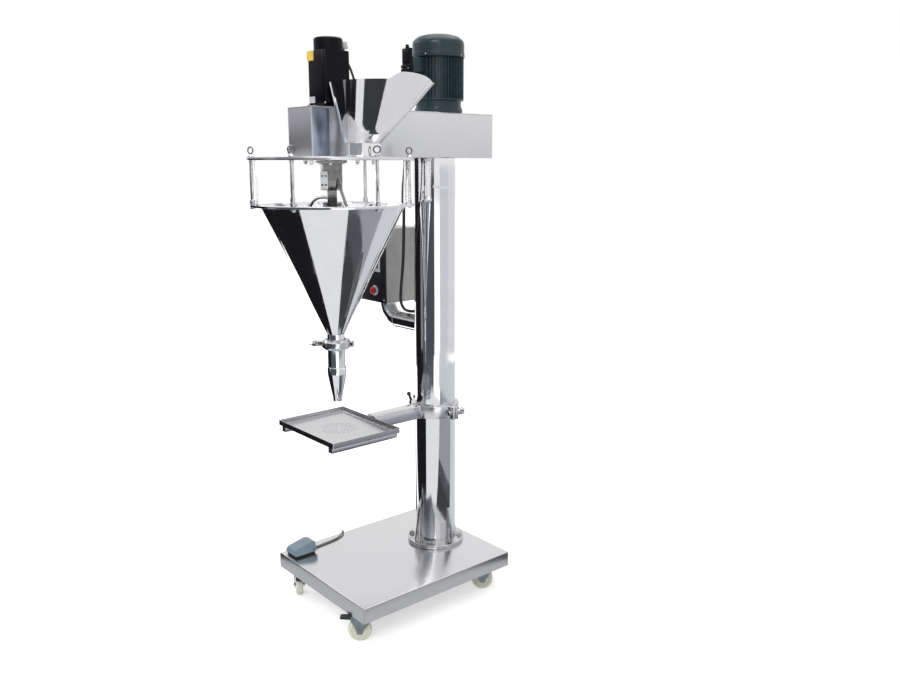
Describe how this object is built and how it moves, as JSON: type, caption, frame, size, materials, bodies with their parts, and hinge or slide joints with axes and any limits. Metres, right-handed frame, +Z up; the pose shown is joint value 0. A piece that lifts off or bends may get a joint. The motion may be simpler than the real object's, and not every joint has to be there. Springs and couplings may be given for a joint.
{
  "type": "auger powder filler",
  "caption": "Semi-automatic auger powder filler: stirred hopper with servo auger on a round column, height-adjustable tray, control box and foot switch on a castered deck.",
  "frame": {"origin": "on the floor at the middle of the machine's outline seen from above", "axes": "+Z up; -Y towards the operator, the side of the hopper and tray; +X the side of the feed funnel"},
  "size_m": [0.7916, 0.928, 2.0336],
  "materials": {
    "brushed_stainless": "satin",
    "polished_stainless": "polished",
    "zinc_plate": "satin",
    "motor_paint": "satin",
    "black_paint": "satin",
    "black_plastic": "matte",
    "cream_wheel": "matte",
    "clear_acrylic": "gloss",
    "belt_rubber": "matte",
    "cast_iron": "matte",
    "grey_paint": "satin",
    "panel_black": "satin",
    "screen_frame": "satin",
    "stop_red": "gloss",
    "pedal_blue_grey": "matte",
    "cord_grey": "matte"
  },
  "bodies": {
    "frame": {"base_deck": "brushed_stainless", "column_tube": "polished_stainless", "column_foot": "polished_stainless", "belt_housing": "brushed_stainless", "belt_housing_cover": "brushed_stainless", "motor_body": "motor_paint", "motor_fan_cover": "motor_paint", "motor_terminal_box": "black_paint", "servo_motor": "black_paint", "servo_encoder": "black_paint", "servo_cable": "black_plastic", "bearing_housing": "polished_stainless", "hopper_lid": "brushed_stainless", "hopper_cylinder": "clear_acrylic", "hopper_cone": "polished_stainless", "tie_rod_1": "polished_stainless", "tie_rod_2": "polished_stainless", "tie_rod_3": "polished_stainless", "tie_rod_4": "polished_stainless", "tie_rod_5": "polished_stainless", "tie_rod_6": "polished_stainless", "feed_funnel": "polished_stainless", "outlet_clamp_front": "polished_stainless", "outlet_clamp_rear": "polished_stainless", "auger_tube": "polished_stainless", "auger_nozzle": "polished_stainless", "control_elbow": "polished_stainless", "control_box": "grey_paint", "head_cable": "black_plastic", "foot_switch_base": "black_plastic", "foot_switch_cord": "cord_grey", "drive_belt": "belt_rubber"},
    "tray_carriage": {"tray_arm": "brushed_stainless", "tray_collar_rear": "brushed_stainless", "tray_pan": "brushed_stainless"},
    "lock_lever": {"tray_lock_lever": "black_plastic"},
    "lock_knob": {"tray_lock_knob": "cast_iron"},
    "auger": {"servo_shaft": "cast_iron", "auger_coupling": "cast_iron", "auger_screw": "polished_stainless"},
    "motor_drive": {"motor_rotor": "cast_iron", "drive_pulley": "cast_iron"},
    "stirring_gear": {"stirrer": "polished_stainless", "driven_pulley": "cast_iron"},
    "control_door": {"control_panel": "panel_black", "control_display": "screen_frame"},
    "stop_button": {"emergency_stop": "stop_red"},
    "switch_pedal": {"foot_switch_pedal": "pedal_blue_grey"},
    "clamp_nut": {"outlet_clamp_wing_nut": "polished_stainless"},
    "caster_fl_swivel": {"caster_fl_fork": "zinc_plate"},
    "caster_fl_roller": {"caster_fl_wheel": "cream_wheel"},
    "caster_fl_pedal": {"caster_fl_brake": "black_plastic"},
    "caster_fr_swivel": {"caster_fr_fork": "zinc_plate"},
    "caster_fr_roller": {"caster_fr_wheel": "cream_wheel"},
    "caster_fr_pedal": {"caster_fr_brake": "black_plastic"},
    "caster_rl_swivel": {"caster_rl_fork": "zinc_plate"},
    "caster_rl_roller": {"caster_rl_wheel": "cream_wheel"},
    "caster_rr_swivel": {"caster_rr_fork": "zinc_plate"},
    "caster_rr_roller": {"caster_rr_wheel": "cream_wheel"}
  },
  "joints": [
    {"name": "caster_fl_swivels", "type": "hinge", "parent": "frame", "child": "caster_fl_swivel", "pos_m": [-0.22475, -0.24, 0.1], "axis": [0, 0, 1], "continuous": true},
    {"name": "caster_fl_rolls", "type": "hinge", "parent": "caster_fl_swivel", "child": "caster_fl_roller", "pos_m": [-0.2005, -0.254, 0.04], "axis": [0.5, 0.866, 0], "continuous": true},
    {"name": "caster_fl_brake_press", "type": "hinge", "parent": "caster_fl_swivel", "child": "caster_fl_pedal", "pos_m": [-0.17972, -0.266, 0.084], "axis": [0.5, 0.866, 0], "range_deg": [0, 12]},
    {"name": "caster_fr_swivels", "type": "hinge", "parent": "frame", "child": "caster_fr_swivel", "pos_m": [0.22925, -0.24, 0.1], "axis": [0, 0, 1], "continuous": true},
    {"name": "caster_fr_rolls", "type": "hinge", "parent": "caster_fr_swivel", "child": "caster_fr_roller", "pos_m": [0.21125, -0.26145, 0.04], "axis": [0.766, -0.6428, 0], "continuous": true},
    {"name": "caster_fr_brake_press", "type": "hinge", "parent": "caster_fr_swivel", "child": "caster_fr_pedal", "pos_m": [0.19583, -0.27983, 0.084], "axis": [0.766, -0.6428, 0], "range_deg": [0, 12]},
    {"name": "caster_rl_swivels", "type": "hinge", "parent": "frame", "child": "caster_rl_swivel", "pos_m": [-0.22475, 0.323, 0.1], "axis": [0, 0, 1], "continuous": true},
    {"name": "caster_rl_rolls", "type": "hinge", "parent": "caster_rl_swivel", "child": "caster_rl_roller", "pos_m": [-0.25106, 0.31342, 0.04], "axis": [0.342, -0.9397, 0], "continuous": true},
    {"name": "caster_rr_swivels", "type": "hinge", "parent": "frame", "child": "caster_rr_swivel", "pos_m": [0.22925, 0.323, 0.1], "axis": [0, 0, 1], "continuous": true},
    {"name": "caster_rr_rolls", "type": "hinge", "parent": "caster_rr_swivel", "child": "caster_rr_roller", "pos_m": [0.21125, 0.30155, 0.04], "axis": [0.766, -0.6428, 0], "continuous": true},
    {"name": "tray_height", "type": "slide", "parent": "frame", "child": "tray_carriage", "axis": [0, 0, 1], "range_m": [-0.35, 0.08]},
    {"name": "lock_lever_turn", "type": "hinge", "parent": "tray_carriage", "child": "lock_lever", "pos_m": [-0.10375, 0.244, 0.684], "axis": [0, -1, 0], "range_deg": [0, 90]},
    {"name": "lock_knob_turn", "type": "hinge", "parent": "tray_carriage", "child": "lock_knob", "pos_m": [0.10825, 0.244, 0.684], "axis": [0, 1, 0], "continuous": true},
    {"name": "auger_spin", "type": "hinge", "parent": "frame", "child": "auger", "pos_m": [0.00225, -0.192, 1.2], "axis": [0, 0, 1], "continuous": true},
    {"name": "stirrer_spin", "type": "hinge", "parent": "frame", "child": "stirring_gear", "pos_m": [0.00225, -0.192, 1.5], "axis": [0, 0, 1], "continuous": true},
    {"name": "motor_spin", "type": "hinge", "parent": "frame", "child": "motor_drive", "pos_m": [0.00225, 0.2645, 1.8], "axis": [0, 0, 1], "continuous": true},
    {"name": "control_door_open", "type": "hinge", "parent": "frame", "child": "control_door", "pos_m": [-0.38875, 0.158, 1.2], "axis": [0, 0, -1], "range_deg": [0, 105]},
    {"name": "emergency_stop_press", "type": "slide", "parent": "control_door", "child": "stop_button", "axis": [0, 1, 0], "range_m": [0, 0.004], "stiffness_N_per_m": 1500, "springref_m": -0.002},
    {"name": "foot_switch_press", "type": "hinge", "parent": "frame", "child": "switch_pedal", "pos_m": [-0.22275, -0.194, 0.165], "axis": [1, 0, 0], "range_deg": [0, 5], "stiffness_Nm_per_rad": 4, "springref_deg": -5.73},
    {"name": "clamp_nut_turn", "type": "hinge", "parent": "frame", "child": "clamp_nut", "pos_m": [-0.04866, -0.24291, 0.9885], "axis": [0.7071, -0.7071, 0], "continuous": true}
  ],
  "couplings": [
    {"joint": "motor_spin", "follows": "stirrer_spin", "ratio": 2.3453}
  ]
}
